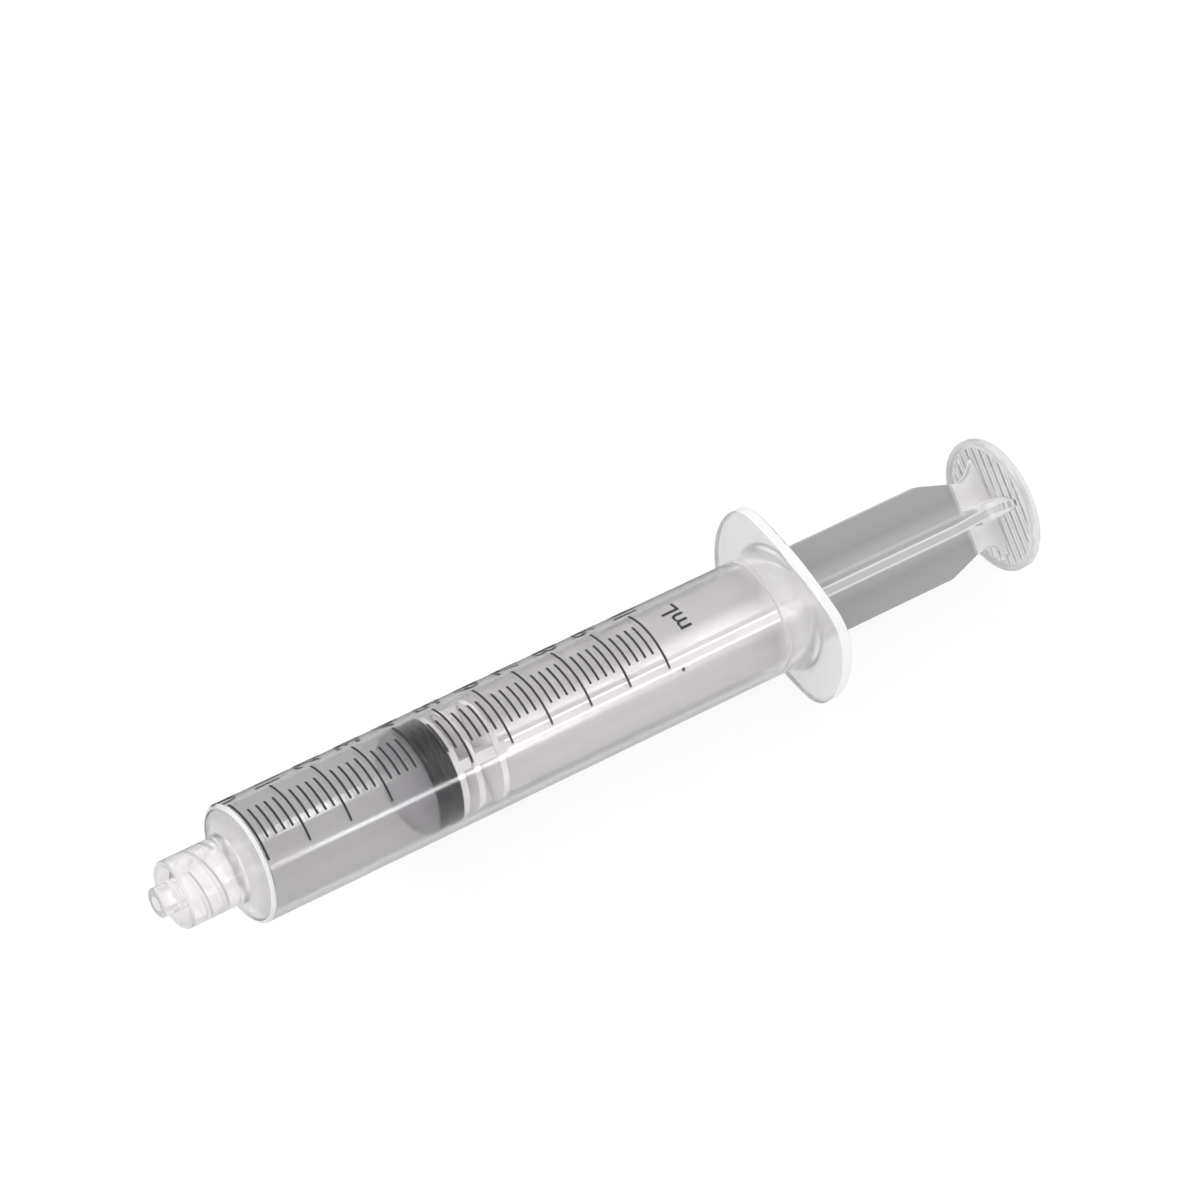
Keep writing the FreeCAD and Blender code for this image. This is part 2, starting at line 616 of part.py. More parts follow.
bodies = [make_barrel(), make_stopper(), make_rod(), make_scale()]
check(bodies)
os.makedirs("parts", exist_ok=True)
for body in bodies:
    body.Shape.exportStep(f"parts/{body.Label}.step")
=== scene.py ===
# %% [markdown] This lesson dresses a clear syringe. The script gives them their finish, which is two
# clear plastics, dark rubber and printed ink, and builds a small white studio round them. Everything
# is deselected first, because an operator acts on all that is selected.

# %% Load the frame
import json
import math

import bpy
from mathutils import Matrix, Vector


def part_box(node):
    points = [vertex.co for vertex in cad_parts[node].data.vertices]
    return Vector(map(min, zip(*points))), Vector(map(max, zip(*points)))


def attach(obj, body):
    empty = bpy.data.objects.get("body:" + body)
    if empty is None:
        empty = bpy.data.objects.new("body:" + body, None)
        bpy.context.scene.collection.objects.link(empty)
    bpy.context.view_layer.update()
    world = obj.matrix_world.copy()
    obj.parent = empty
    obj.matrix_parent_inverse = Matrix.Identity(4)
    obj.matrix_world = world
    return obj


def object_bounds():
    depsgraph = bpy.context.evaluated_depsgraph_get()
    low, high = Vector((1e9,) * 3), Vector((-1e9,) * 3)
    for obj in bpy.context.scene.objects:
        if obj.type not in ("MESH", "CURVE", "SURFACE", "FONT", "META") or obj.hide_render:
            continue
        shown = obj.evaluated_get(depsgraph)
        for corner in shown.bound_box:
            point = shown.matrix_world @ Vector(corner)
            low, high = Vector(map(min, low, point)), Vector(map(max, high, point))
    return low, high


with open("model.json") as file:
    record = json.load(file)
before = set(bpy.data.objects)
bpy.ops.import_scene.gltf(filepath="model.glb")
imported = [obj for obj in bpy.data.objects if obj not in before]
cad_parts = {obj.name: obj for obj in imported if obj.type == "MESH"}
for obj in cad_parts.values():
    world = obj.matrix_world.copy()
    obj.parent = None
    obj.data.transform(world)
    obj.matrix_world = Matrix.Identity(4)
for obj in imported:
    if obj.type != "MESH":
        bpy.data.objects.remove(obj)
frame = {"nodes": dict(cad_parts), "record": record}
cad_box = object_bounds()
nodes = frame["nodes"]
bpy.ops.object.select_all(action="DESELECT")
print("pieces:", ", ".join(sorted(nodes)))

# %% [markdown]
# Sizes come from the frame where it has them: the barrel's outside and both faces that a hand presses
# are mounts of the record, and a node's box says where a piece starts and ends. They could be typed
# in, but then they would go wrong as soon as the CAD model changes. The scale's first and last marks
# give the length of one millilitre, which places the numbers.

# %% Sizes
MM = 0.001
MARK_WIDTH = 0.33 * MM
FULL_VOLUME = 10

mounts = {mount["name"]: mount for mount in frame["record"]["mounts"]}
BARREL_R = mounts["barrel_body"]["dims"]["r_mm"] * MM
THUMB_X = mounts["thumb_face"]["pos_m"][0]
FLANGE_X = mounts["finger_face"]["pos_m"][0]
INK_LOW, INK_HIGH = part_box("graduation_print")
ZERO_X = INK_LOW.x + MARK_WIDTH / 2
FULL_X = INK_HIGH.x - MARK_WIDTH / 2
ML = (FULL_X - ZERO_X) / FULL_VOLUME
FLOOR_Z = cad_box[0][2]
print(f"one millilitre is {ML / MM:.3f} mm of barrel")

# %% [markdown]
# The camera stands where the photographer stood: in front of the nozzle, to the left, and high up,
# with a long lens from 0.7 m away. It could be aimed by eye, but its place and its two axes were
# fitted to the outline and the scale marks instead, so that render and photograph lie over each
# other. A long lens keeps the barrel's sides almost parallel.

# %% Camera
CAMERA_PLACE = Vector((-0.25379, -0.306554, 0.590509))
CAMERA_RIGHT = Vector((0.81293, -0.56268, 0.15012))
CAMERA_UP = Vector((0.38041, 0.708257, 0.594693))
LENS = 172.26
SENSOR = 36.0
NEAREST = 0.01

bpy.ops.object.camera_add(location=CAMERA_PLACE)
camera = bpy.context.object
camera.name = "camera"
camera.data.lens = LENS
camera.data.sensor_width = SENSOR
camera.data.clip_start = NEAREST
back = CAMERA_RIGHT.cross(CAMERA_UP)
turn = Matrix((CAMERA_RIGHT, CAMERA_UP, back)).transposed()
camera.matrix_world = Matrix.Translation(CAMERA_PLACE) @ turn.to_4x4()
bpy.context.scene.camera = camera
print(f"camera {CAMERA_PLACE.length:.2f} m from the nozzle, lens {LENS:.0f} mm")

# %% [markdown]
# A finish changes over a piece: the nozzle is milkier than the barrel, and a rib's edge is whiter than
# its side. Each change is a sum on the surface's coordinates, and as single nodes such sums are hard
# to read. So one small class wraps a socket, and an expression on wires adds its Math nodes.
# `rise`, `fall` and `near` make soft masks: 1 above a place, below it or round it.

# %% Shader maths
class Wire:
    """One output socket. An expression on wires adds Math nodes."""

    def __init__(self, finish, socket):
        self.finish = finish
        self.socket = socket

    def of(self, name):
        """Another output of the same node."""
        return Wire(self.finish, self.socket.node.outputs[name])

    def math(self, operation, *values):
        return self.finish.node("ShaderNodeMath", {"operation": operation}, dict(enumerate(values)))

    def __add__(self, other):
        return self.math("ADD", self, other)

    def __sub__(self, other):
        return self.math("SUBTRACT", self, other)

    def __mul__(self, other):
        return self.math("MULTIPLY", self, other)

    def __rsub__(self, other):
        return self.math("SUBTRACT", other, self)

    __radd__ = __add__
    __rmul__ = __mul__

    def size(self):
        return self.math("ABSOLUTE", self)

    def least(self, other):
        return self.math("MINIMUM", self, other)

    def most(self, other):
        return self.math("MAXIMUM", self, other)

    def root(self):
        return self.math("SQRT", self)

    def rise(self, low, high):
        """0 below low, 1 above high, and smooth between them."""
        return self.finish.node("ShaderNodeMapRange", {"interpolation_type": "SMOOTHSTEP"},
                                {"Value": self, "From Min": low, "From Max": high})

    def fall(self, low, high):
        """1 below low, 0 above high, and smooth between them."""
        return 1 - self.rise(low, high)

    def near(self, place, full, none):
        """1 up to the distance full from a place, and 0 from the distance none on."""
        return (self - place).size().fall(full, none)


print("wires can do:", ", ".join(name for name in vars(Wire) if not name.startswith("_")))

# %% [markdown]
# A material is a tree of nodes. They could be placed and linked one by one in the node editor. Here one
# method adds any node: it takes the node's type, its settings, which come first because they can
# change its sockets, and then the values or wires of its sockets. The others are short names for
# the nodes that every finish needs. Patterns read Object coordinates, so they stay on their piece
# when it slides or turns.

# %% A finish in the making
class Finish:
    """The nodes of a material, or of the world, in the making."""

    def __init__(self, material):
        self.material = material
        self.material.use_nodes = True
        self.tree = self.material.node_tree
        self.tree.nodes.clear()

    def node(self, kind, settings=None, sockets=None, out=0):
        made = self.tree.nodes.new(kind)
        for name, value in (settings or {}).items():
            setattr(made, name, value)
        for name, value in (sockets or {}).items():
            if isinstance(value, Wire):
                self.tree.links.new(value.socket, made.inputs[name])
            else:
                made.inputs[name].default_value = value
        return Wire(self, made.outputs[out]) if len(made.outputs) else made

    def blend(self, share, first, second):
        """A colour between two colours."""
        return self.node("ShaderNodeMix", {"data_type": "RGBA"},
                         {0: share, 6: first, 7: second}, out=2)

    def mix(self, share, first, second):
        """One shader over another."""
        return self.node("ShaderNodeMixShader", {}, {0: share, 1: first, 2: second})

    def split(self, name):
        """One output of Texture Coordinate as three wires."""
        parts = self.node("ShaderNodeSeparateXYZ", {}, {
            0: self.node("ShaderNodeTexCoord").of(name)})
        return parts.of("X"), parts.of("Y"), parts.of("Z")

    def place(self):
        """The place on the piece."""
        return self.split("Object")

    def facing(self):
        """The surface's own normal, which turns with the piece."""
        return self.split("Normal")

    def noise(self, scale, detail):
        return self.node("ShaderNodeTexNoise", {}, {
            "Vector": self.node("ShaderNodeTexCoord").of("Object"), "Scale": scale, "Detail": detail})

    def bump(self, height, distance, strength):
        return self.node("ShaderNodeBump", {}, {
            "Height": height, "Distance": distance, "Strength": strength})

    def principled(self, **sockets):
        named = {name.replace("_", " "): value for name, value in sockets.items()}
        return self.node("ShaderNodeBsdfPrincipled", {}, named)

    def done(self, shader):
        self.node("ShaderNodeOutputMaterial", {}, {"Surface": shader})
        print(self.material.name, "has", len(self.tree.nodes), "nodes")
        return self.material


# %% [markdown]
# Clear polypropylene isn't quite colourless. In thick or stacked walls it leans a little to pink, so
# the plastics take their greys from `clouded`, and the studio takes neutral ones. Both could be
# typed as colours, but a function keeps the lean the same everywhere.

# %% Greys
PINK_GREEN = 0.985
PINK_BLUE = 0.993


def grey(value):
    """A neutral colour as a linear grey."""
    return (value, value, value, 1.0)


def clouded(value):
    """The grey of clear polypropylene."""
    return (value, value * PINK_GREEN, value * PINK_BLUE, 1.0)


print("half clouded:", clouded(0.5))

# %% [markdown]
# The photograph has a pure white ground. The world is white to the camera, through clear plastic and
# to the surfaces it lights. A mirror sees it at half that strength, as a studio is darker above and
# beside its table, and a reflection then doesn't wash out what is inside the barrel. Light Path tells
# the rays apart. It counts a ray through plastic as glossy too, so a mirrored ray is one that is
# glossy and doesn't pass through.
#
# Light that enters a clear barrel is passed on along its walls, so a rod inside looks brighter than the
# same rod outside. Path tracing follows little of that light. More lamps could make up for it,
# but would light the outside too, so the studio sends more only to rays that left a matt surface
# and then passed through several clear walls.

# %% World
MIRROR_LIGHT = 0.5
INSIDE_LIGHT = 9.0
WALLS_PASSED = 3


def studio_light(finish):
    """Three wires from the light path: rays that should see white, mirrored rays, inside light."""
    ray = finish.node("ShaderNodeLightPath")
    deep = (ray.of("Transmission Depth") - WALLS_PASSED).least(1)
    inside = ray.of("Is Transmission Ray").least(ray.of("Diffuse Depth")).least(deep).most(0)
    seen = ray.of("Is Camera Ray").most(ray.of("Is Transmission Ray"))
    return seen, ray.of("Is Glossy Ray") * (1 - seen), inside


world = bpy.data.worlds.new("studio")
bpy.context.scene.world = world
sky = Finish(world)
seen, mirrored, inside = studio_light(sky)
strength = 1 + mirrored * (MIRROR_LIGHT - 1) + inside * (INSIDE_LIGHT - 1)
sky.node("ShaderNodeOutputWorld", {}, {"Surface": sky.node(
    "ShaderNodeBackground", {}, {"Color": grey(1.0), "Strength": strength})})
bpy.context.scene.view_settings.view_transform = "Standard"
print("world has", len(sky.tree.nodes), "nodes")

# %% [markdown]
# The floor is a pale sheet of paper. A plain white plane would show its edge against the ground. So most
# of what it sends to the camera is a glow of its own, and the rest is lit, which lets the syringe's soft
# shadow show. In a mirror it is darker, and on the far side it carries a painted shadow, darker still,
# which stands for the syringe's own shadow there: the barrel's upper edge mirrors that side and shows it
# as a grey band.

# %% Floor
FLOOR_SIZE = 3.0
PAPER = 0.95
PAPER_ROUGHNESS = 0.9
SHADOW_SHARE = 0.16
FLOOR_GLOW = 1.03
NEAR_MIRROR = 0.8
FAR_SHADOW_MIRROR = 0.3
FAR_FROM = -2 * MM
FAR_TO = 8 * MM

bpy.ops.mesh.primitive_plane_add(size=FLOOR_SIZE, location=(THUMB_X / 2, 0, FLOOR_Z))
floor = bpy.context.object
floor.name = "floor"
paper = Finish(bpy.data.materials.new("floor_paper"))
seen, mirrored, inside = studio_light(paper)
lit = paper.principled(Base_Color=grey(PAPER), Roughness=PAPER_ROUGHNESS)
# A painted shadow: the floor shows darker in mirrors on the far side of the syringe.
far_shadow = paper.place()[1].rise(FAR_FROM, FAR_TO)
mirror = NEAR_MIRROR + far_shadow * (FAR_SHADOW_MIRROR - NEAR_MIRROR)
glow = paper.node("ShaderNodeEmission", {}, {
    "Color": grey(1.0),
    "Strength": FLOOR_GLOW + inside * (INSIDE_LIGHT - 1) + mirrored * (mirror - FLOOR_GLOW)})
share = (seen * (1 - SHADOW_SHARE)).most(mirrored)
floor.data.materials.append(paper.done(paper.mix(share, lit, glow)))

# %% [markdown]
# A clear cylinder shows each lamp as a bright line along its length, where its surface mirrors the lamp
# to the camera. The long line in the photograph gives the main lamp's direction, which is low on
# the near side. One strip box would give a hard line, so three of them, one behind the other, give
# it a bright core and soft ends. A small lamp above gives the short highlight near the shoulder,
# and a large weak one fills the far side.

# %% Lamps
STRIP_WAY = (0.41, -0.78, 0.48)
TOP_WAY = (0.385, -0.02, 0.92)
FILL_WAY = (-0.3, 0.85, 0.5)

# Name, aimed at this x, direction, distance, width, height (metres), power (watts)
LAMPS = (
    ("strip_core", 0.026, STRIP_WAY, 0.52, 0.045, 0.05, 0.05),
    ("strip_middle", 0.026, STRIP_WAY, 0.55, 0.085, 0.07, 0.06),
    ("strip_outer", 0.052, STRIP_WAY, 0.58, 0.19, 0.10, 0.025),
    ("small_lamp", 0.019, TOP_WAY, 0.50, 0.018, 0.14, 0.08),
    ("far_fill", THUMB_X / 2, FILL_WAY, 0.8, 0.5, 0.5, 1.2),
)


def area_lamp(name, aim_x, towards, distance, width, height, power):
    """A soft rectangular lamp that faces a point of the axis, with its width along the barrel."""
    direction = Vector(towards).normalized()
    bpy.ops.object.light_add(type="AREA", location=Vector((aim_x, 0, 0)) + direction * distance)
    lamp = bpy.context.object
    lamp.name = name
    lamp.data.shape = "RECTANGLE"
    lamp.data.size = width
    lamp.data.size_y = height
    lamp.data.energy = power
    across = Vector((1, 0, 0))
    across = (across - direction * across.dot(direction)).normalized()
    turn = Matrix((across, direction.cross(across), direction)).transposed()
    lamp.matrix_world = Matrix.Translation(lamp.location) @ turn.to_4x4()
    return lamp


for row in LAMPS:
    lamp = area_lamp(*row)
    print(f"{lamp.name}: {lamp.data.energy:.3f} W")

# %% [markdown]
# The barrel is one clear polypropylene moulding. The nozzle and the flange are thick and milkier than the
# tube. The pale lines where a sharp outer edge would catch light, on the shoulder's ring, the collar's
# front and the crests of the lock thread, are painted highlights, made of milk in thin bands. The
# flange's side is painted whiter, partly as milk and partly as painted light that its thick rim passes
# on. Separate materials would leave hard borders in one moulding, so masks mark the regions.

# %% Regions of the barrel
NOZZLE_END = 10.2 * MM
NOZZLE_SOFT = 0.6 * MM
SHOULDER_X = 12.12 * MM
CONE_SOFT = 0.3 * MM
SHOULDER_BAND = (0.252 * MM, 0.42 * MM)
SHOULDER_RING = (BARREL_R - 0.6 * MM, BARREL_R - 0.4 * MM)
COLLAR_MOUTH = 2.4 * MM
MOUTH_BAND = (0.05 * MM, 0.25 * MM)
CREST_R = 3.52 * MM
CREST_BAND = (0.06 * MM, 0.14 * MM)
FLANGE_START = FLANGE_X - 6.5 * MM
FLANGE_FULL = FLANGE_X - 2.0 * MM
FLANGE_SIDE = (9.0 * MM, 9.4 * MM)
FACES_ALONG = (0.3, 0.7)

clear = Finish(bpy.data.materials.new("clear_barrel"))
x, y, z = clear.place()
nx = clear.facing()[0]
radius = (y * y + z * z).root()
nozzle = x.fall(NOZZLE_END - NOZZLE_SOFT, NOZZLE_END + NOZZLE_SOFT)
cone = x.fall(SHOULDER_X - CONE_SOFT, SHOULDER_X + CONE_SOFT)
flange = x.rise(FLANGE_START, FLANGE_FULL)
# Thin bands for painted highlights on sharp edges: the thread's crests, the collar's front and the
# shoulder's ring. The flange's side is partly painted light.
crest = nozzle * radius.near(CREST_R, *CREST_BAND)
mouth = x.near(COLLAR_MOUTH, *MOUTH_BAND)
side = flange * nx.size().fall(*FACES_ALONG) * radius.rise(*FLANGE_SIDE)
shoulder = x.near(SHOULDER_X, *SHOULDER_BAND) * radius.rise(*SHOULDER_RING)
barrel_regions = {"nozzle": nozzle, "cone": cone, "flange": flange, "side": side,
                  "shoulder": shoulder, "crest": crest, "mouth": mouth}
print("regions:", ", ".join(barrel_regions))

# %% [markdown]
# Clear plastic is a Principled shader with full transmission, and its colour tints the light once for
# each wall. Glass with absorption would tint by the path inside, but the walls are too thin and too many
# for that to stay steady. A milky shader is mixed in by region, for real milk and for painted highlights
# and painted light, and a weak noise stands for the flow of the melt, in the gloss and in a slight bump.
# Both mouldings need this, so it is a function.

# %% Clear plastic
PLASTIC_IOR = 1.49
MILK = 0.95


def clear_plastic(finish, tint, milk_and_light_share, flow, least, gain, depth, relief, milk_roughness):
    """Tinted glass with a share of milk, which also paints highlights and light. The flow of the melt
    shows in its gloss and relief.
    """
    glass = finish.principled(Base_Color=tint, Roughness=flow * gain + least, IOR=PLASTIC_IOR,
                              Transmission_Weight=1.0, Normal=finish.bump(flow, depth, relief))
    milk = finish.principled(Base_Color=clouded(MILK), Roughness=milk_roughness)
    return finish.done(finish.mix(milk_and_light_share, glass, milk))


print(f"refraction {PLASTIC_IOR}, milk {MILK}")

# %% [markdown]
# The tube's wall takes the most tint of the barrel, because the photograph shows it as a light grey.
# One tint all over would leave its sides as pale as its middle, but a slanting wall is a longer way
# through the plastic, so Layer Weight makes it deeper there. The milk, and the painted highlights made
# with it, go where the masks say.

# %% Plastic of the barrel
WALL_TINT = 0.65
SLANT_TINT = 0.52
CONE_TINT = 0.94
FLANGE_TINT = 0.96
NOZZLE_TINT = 0.83
SLANT_FACING = (0.35, 0.85)
# Of these shares, the shoulder's, the crest's and the mouth's are painted highlights, and the side's is
# partly painted light; the rest is milk.
BARREL_MILK_AND_LIGHT = {"nozzle": 0.05, "flange": 0.38, "cone": 0.15, "side": 0.5, "shoulder": 0.70,
               "crest": 0.12, "mouth": 0.35}

slant = clear.node("ShaderNodeLayerWeight", {}, {"Blend": 0.5}, out=1).rise(*SLANT_FACING)
wall = clear.blend(slant, clouded(WALL_TINT), clouded(SLANT_TINT))
tint = clear.blend(flange, clear.blend(cone, wall, clouded(CONE_TINT)), clouded(FLANGE_TINT))
tint = clear.blend(nozzle, tint, clouded(NOZZLE_TINT))
milk_and_light_share = sum(barrel_regions[name] * share for name, share in BARREL_MILK_AND_LIGHT.items())
barrel_finish = clear_plastic(clear, tint, milk_and_light_share, clear.noise(scale=90.0, detail=3.0), least=0.07,
                              gain=0.06, depth=0.05 * MM, relief=0.25, milk_roughness=0.3)

# %% [markdown]
# The plunger rod is a cheaper, cloudier moulding. Its four ribs are plates 1.4 mm thick. Their narrow
# outer faces are painted whiter than their sides, as painted light passed along the plates, with a
# painted highlight along each edge. The feet, where the ribs spread on the thumb rest, are thicker and
# paler. Masks find these places from the coordinates: `across` is the distance from the middle of a rib,
# and `outward` is large where a surface looks away from the axis.

# %% Regions of the rod
ROD_TURN = math.radians(35.5)
ROD_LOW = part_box("plunger_rod")[0]
ROOT_X = THUMB_X - 6.2 * MM
DISC_X = THUMB_X - 1.6 * MM
DISC_SOFT = 0.1 * MM
GUIDE_X = ROD_LOW.x + 11.2 * MM
BLEND_SOFT = 0.3 * MM
END_FACE_SOFT = 0.2 * MM
END_FACE_OUT = (2.5 * MM, 3.2 * MM)
EDGE_LINE = (0.36 * MM, 0.55 * MM)
CORE_R = (0.8 * MM, 3.4 * MM)
RIM_R = (8.4 * MM, 8.7 * MM)
BACK_FACING = (0.5, 0.9)
RIDGE_TOP = (THUMB_X - 0.16 * MM, THUMB_X - 0.06 * MM)

rod = Finish(bpy.data.materials.new("clear_rod"))
x, y, z = rod.place()
nx, ny, nz = rod.facing()
radius = (y * y + z * z).root()
first = (y * math.cos(ROD_TURN) + z * math.sin(ROD_TURN)).size()
second = (z * math.cos(ROD_TURN) - y * math.sin(ROD_TURN)).size()
across = first.least(second)
outward = y * ny + z * nz
disc = x.rise(DISC_X - DISC_SOFT, DISC_X + DISC_SOFT)
end_face = outward.rise(*END_FACE_OUT) * x.rise(GUIDE_X, GUIDE_X + END_FACE_SOFT) * (1 - disc)
# A painted highlight along each edge of a rib's outer face.
edge_line = end_face * across.rise(*EDGE_LINE)
root = x.rise(ROOT_X - BLEND_SOFT, ROOT_X)
foot = root * (1 - disc.most(end_face))
head = x.fall(GUIDE_X - BLEND_SOFT, GUIDE_X + BLEND_SOFT)
# Painted light: the plates are paler near the axis, where light bounces between the ribs.
core = radius.fall(*CORE_R) * (1 - head)
# The thumb rest's rim: partly milk, partly painted light at its edge.
rim = disc * radius.rise(*RIM_R)
back = nx.rise(*BACK_FACING) * disc
# A painted highlight on the tops of the ridges.
ridge = back * x.rise(*RIDGE_TOP)
rod_regions = {"end_face": end_face, "edge_line": edge_line, "foot": foot, "core": core,
               "head": head, "back": back, "ridge": ridge, "rim": rim, "stem": 1 - disc}
print(f"ribs run from x = {GUIDE_X / MM:.1f} to {ROOT_X / MM:.1f} mm")

# %% [markdown]
# The rod's plastic is made as the barrel's is, with a deeper tint, because light passes only one plate at
# a time and that plate has to look cloudy. The rear face of the thumb rest is tinted more than its front,
# and milk on the tops of the ridges is a painted highlight, which shows through the disc from the front
# too. The feet scatter the most light and get the most milk. The rim gets as much, partly as milk and
# partly as painted light at its edge, and the core near the axis gets milk as painted light that bounces
# between the ribs.

# %% Plastic of the rod
PLATE_TINT = 0.14
FOOT_TINT = 0.45
HEAD_TINT = 0.84
DISC_TINT = 0.70
BACK_TINT = 0.20
END_FACE_LIGHT_TINT = 0.95
# Some of these shares paint light: the edges' and ridges' shares are painted highlights, the core's is
# painted light, and the outer faces' and rim's are partly painted light.
ROD_MILK_AND_LIGHT = {"end_face": 0.06, "edge_line": 0.28, "foot": 0.45, "core": 0.28, "head": 0.02,
            "back": 0.16, "ridge": 0.17, "rim": 0.45, "stem": 0.29}
HAZE = 0.05

tint = rod.blend(root, clouded(PLATE_TINT), clouded(FOOT_TINT))
tint = rod.blend(head, tint, clouded(HEAD_TINT))
tint = rod.blend(disc, tint, rod.blend(back, clouded(DISC_TINT), clouded(BACK_TINT)))
# Painted light: the ribs' outer faces are nearly clear, so they show whiter than the plates beside them.
tint = rod.blend(end_face, tint, clouded(END_FACE_LIGHT_TINT))
milk_and_light_share = sum((rod_regions[name] * share for name, share in ROD_MILK_AND_LIGHT.items()), HAZE)
rod_finish = clear_plastic(rod, tint, milk_and_light_share, rod.noise(scale=120.0, detail=4.0), least=0.08,
                           gain=0.08, depth=0.06 * MM, relief=0.3, milk_roughness=0.35)

# %% [markdown]
# The stopper is moulded rubber, almost black, with a faint satin from its silicone film. Its nose lies in
# clear plastic with light from all round, and looks paler than the sealing ribs, most of all near its
# tip. One colour would make it a flat black patch, so that light is painted in: the nose is blended paler
# by its facing and by the distance from the tip. A fine grain breaks up the gloss.

# %% Rubber
STOPPER_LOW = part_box("stopper")[0]
NOSE_FACING = (0.2, 0.6)
TIP_LENGTH = 6.0 * MM
RUBBER_DARK = (0.011, 0.010, 0.013, 1)
RUBBER_PALE = (0.018, 0.0165, 0.021, 1)
NOSE_DARK = (0.04, 0.037, 0.044, 1)
NOSE_PALE = (0.17, 0.166, 0.174, 1)
RUBBER_LEAST = 0.32
RUBBER_GAIN = 0.16

rubber = Finish(bpy.data.materials.new("stopper_rubber"))
grain = rubber.noise(scale=900.0, detail=4.0)
patch = rubber.noise(scale=140.0, detail=2.0)
# Painted light: the nose is paler where it faces the nozzle, and palest near its tip.
nose_light = (0 - rubber.facing()[0]).rise(*NOSE_FACING)
tip_light = rubber.place()[0].fall(STOPPER_LOW.x, STOPPER_LOW.x + TIP_LENGTH)
rubber_tone_and_light = rubber.blend(patch, RUBBER_DARK, RUBBER_PALE)
rubber_tone_and_light = rubber.blend(nose_light, rubber_tone_and_light, rubber.blend(tip_light, NOSE_DARK, NOSE_PALE))
relief = rubber.bump(grain, distance=0.02 * MM, strength=0.4)
rubber_finish = rubber.done(rubber.principled(
    Base_Color=rubber_tone_and_light, Roughness=patch * RUBBER_GAIN + RUBBER_LEAST, Normal=relief))

# %% [markdown]
# The ink is screen-printed: nearly black, satin, and a little uneven, because the screen leaves more
# ink in some places. A fine noise between two dark greys gives that, and the same noise
# changes the gloss.

# %% Ink
INK_DARK = (0.018, 0.018, 0.022, 1)
INK_PALE = (0.05, 0.05, 0.058, 1)
INK_LEAST = 0.4
INK_GAIN = 0.2

ink = Finish(bpy.data.materials.new("scale_ink"))
speck = ink.noise(scale=1500.0, detail=3.0)
tone = ink.blend(speck, INK_DARK, INK_PALE)
relief = ink.bump(speck, distance=0.01 * MM, strength=0.3)
ink_finish = ink.done(ink.principled(
    Base_Color=tone, Roughness=speck * INK_GAIN + INK_LEAST, Normal=relief))

# %% [markdown]
# Each piece of the real syringe is one moulding or one print, so each has one material. The CAD pieces
# come with a slot of their own, whose name the record knows, and the new finish goes into it.

# %% Finishes on the pieces
FINISHES = {"barrel": barrel_finish, "plunger_rod": rod_finish, "stopper": rubber_finish,
            "graduation_print": ink_finish}
for name, finish in FINISHES.items():
    nodes[name].material_slots[0].material = finish
    print(name, "is", finish.name)

# %% [markdown]
# The numbers of the scale are ink too, printed round the barrel with their tops to the nozzle. An image
# on the plastic would blur close up, so each is a real text with the ink's thickness. As a mesh it
# has long straight edges that can't bend, so it is bisected into narrow strips first, and then
# each point is moved from the flat sheet to its angle on the barrel.

# %% Text round the barrel
INK = 0.03 * MM
STRIP = 0.4 * MM
BOLDER = 0.008
CURVE_STEPS = 4
SAME_POINT = 1e-5
ON_CUT = 1e-7


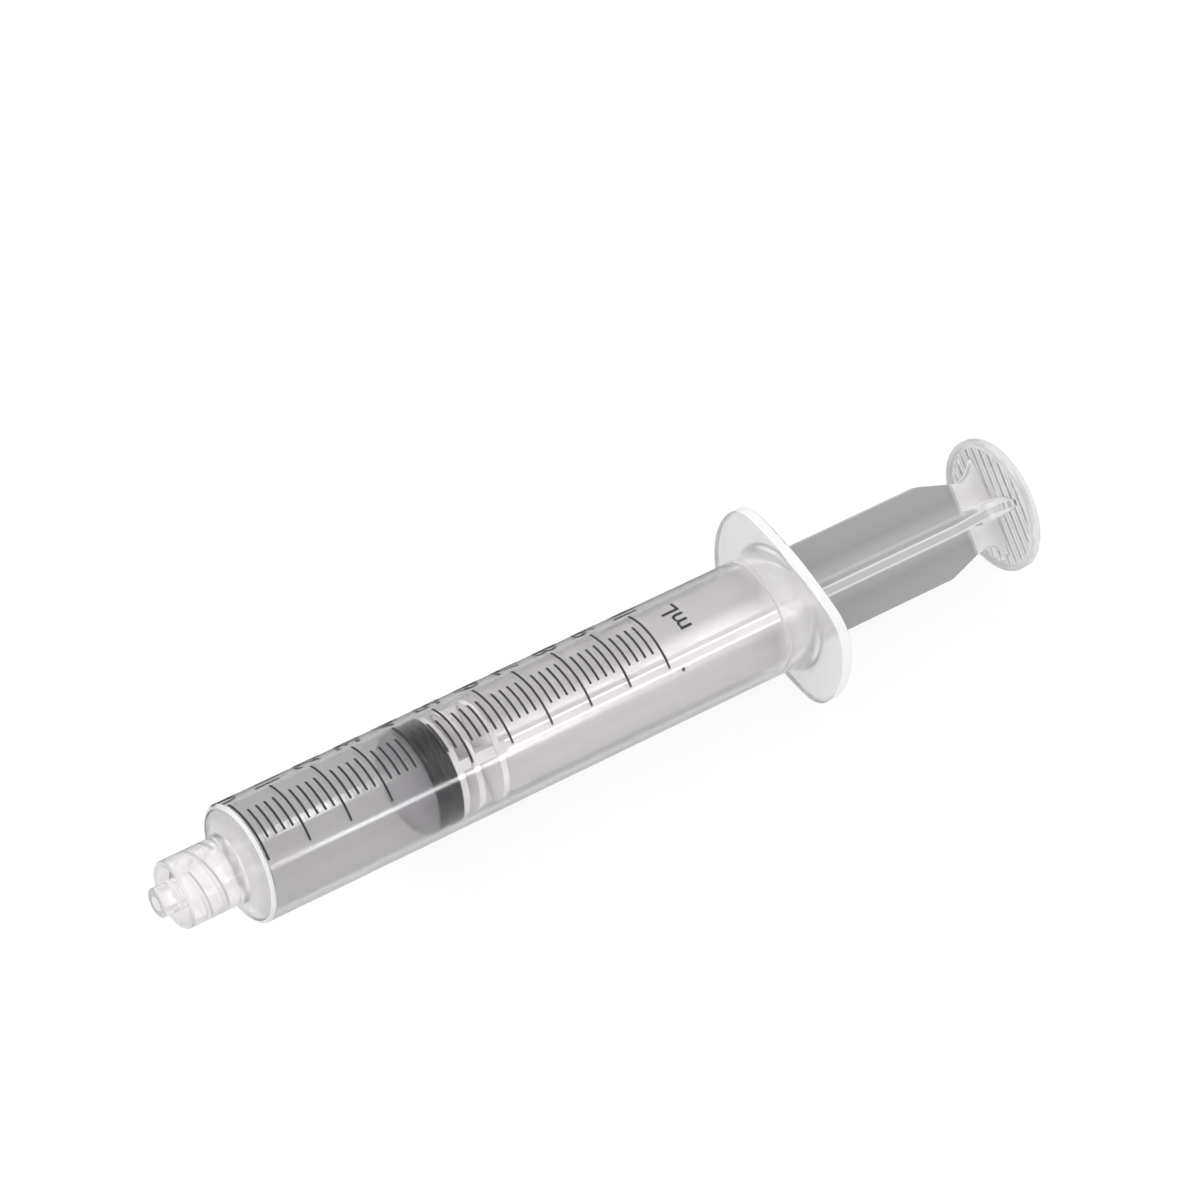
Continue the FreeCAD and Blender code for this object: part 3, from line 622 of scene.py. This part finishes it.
def printed(name, text, height, base_x, edge_angle):
    """A text wrapped round the barrel, reading towards the lower angle, tops towards the nozzle."""
    bpy.ops.object.text_add()
    label = bpy.context.object
    label.name = name
    label.data.body = text
    label.data.resolution_u = CURVE_STEPS
    label.data.offset = BOLDER
    bpy.context.view_layer.update()
    scale = height / label.dimensions.y
    label.data.extrude = INK / 2 / scale
    bpy.ops.object.convert(target="MESH")
    label = bpy.context.object
    points = label.data.vertices
    left = min(point.co.x for point in points)
    low = min(point.co.y for point in points)
    bpy.ops.object.mode_set(mode="EDIT")
    bpy.ops.mesh.select_all(action="SELECT")
    bpy.ops.mesh.remove_doubles(threshold=SAME_POINT)
    bpy.ops.object.mode_set(mode="OBJECT")
    label.location = (-left * scale, -low * scale, 0)
    label.scale = (scale, scale, scale)
    bpy.ops.object.transform_apply(location=True, rotation=True, scale=True)
    wide = max(point.co.x for point in label.data.vertices)
    bpy.ops.object.mode_set(mode="EDIT")
    for cut in range(1, math.ceil(wide / STRIP)):
        bpy.ops.mesh.select_all(action="SELECT")
        bpy.ops.mesh.bisect(plane_co=(cut * STRIP, 0, 0), plane_no=(1, 0, 0), threshold=ON_CUT)
    bpy.ops.object.mode_set(mode="OBJECT")
    for point in label.data.vertices:
        across, up, out = point.co
        angle = edge_angle - across / BARREL_R
        reach = BARREL_R + INK / 2 + out
        point.co = (base_x - up, reach * math.cos(angle), reach * math.sin(angle))
    bpy.ops.object.mode_set(mode="EDIT")
    bpy.ops.mesh.select_all(action="SELECT")
    bpy.ops.mesh.normals_make_consistent(inside=False)
    bpy.ops.object.mode_set(mode="OBJECT")
    return label


print(f"strips of {STRIP / MM} mm, ink {INK / MM} mm thick")

# %% [markdown]
# A number stands beside each long mark, from 1 mm ahead of it to 2.6 mm behind it. The unit and a small
# dot stand behind the last mark. They could stay thirteen objects, but on the real syringe they
# are one print, so they are joined, share the scale's ink, and ride on the barrel.

# %% Numbers
DIGIT_HEIGHT = 3.6 * MM
DIGIT_EDGE = math.radians(39.0)
DIGIT_BELOW = 2.6 * MM
DOT_HEIGHT = 0.55 * MM
DOT_X = FULL_X + 2.1 * MM
DOT_EDGE = math.radians(133.5)
UNIT_HEIGHT = 2.6 * MM
UNIT_X = FULL_X + 5.8 * MM
UNIT_EDGE = math.radians(98.0)

labels = [printed(f"number_{volume}", str(volume), DIGIT_HEIGHT,
                  ZERO_X + volume * ML + DIGIT_BELOW, DIGIT_EDGE)
          for volume in range(FULL_VOLUME + 1)]
labels.append(printed("dot", ".", DOT_HEIGHT, DOT_X, DOT_EDGE))
labels.append(printed("unit", "mL", UNIT_HEIGHT, UNIT_X, UNIT_EDGE))
bpy.ops.object.select_all(action="DESELECT")
for label in labels:
    label.select_set(True)
bpy.context.view_layer.objects.active = labels[0]
bpy.ops.object.join()
numbers = bpy.context.object
numbers.name = "scale_numbers"
numbers.data.materials.clear()
numbers.data.materials.append(ink_finish)
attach(numbers, "barrel")
print(len(labels), "labels,", len(numbers.data.polygons), "faces")

# %% [markdown] A finish must not change the size of the part.
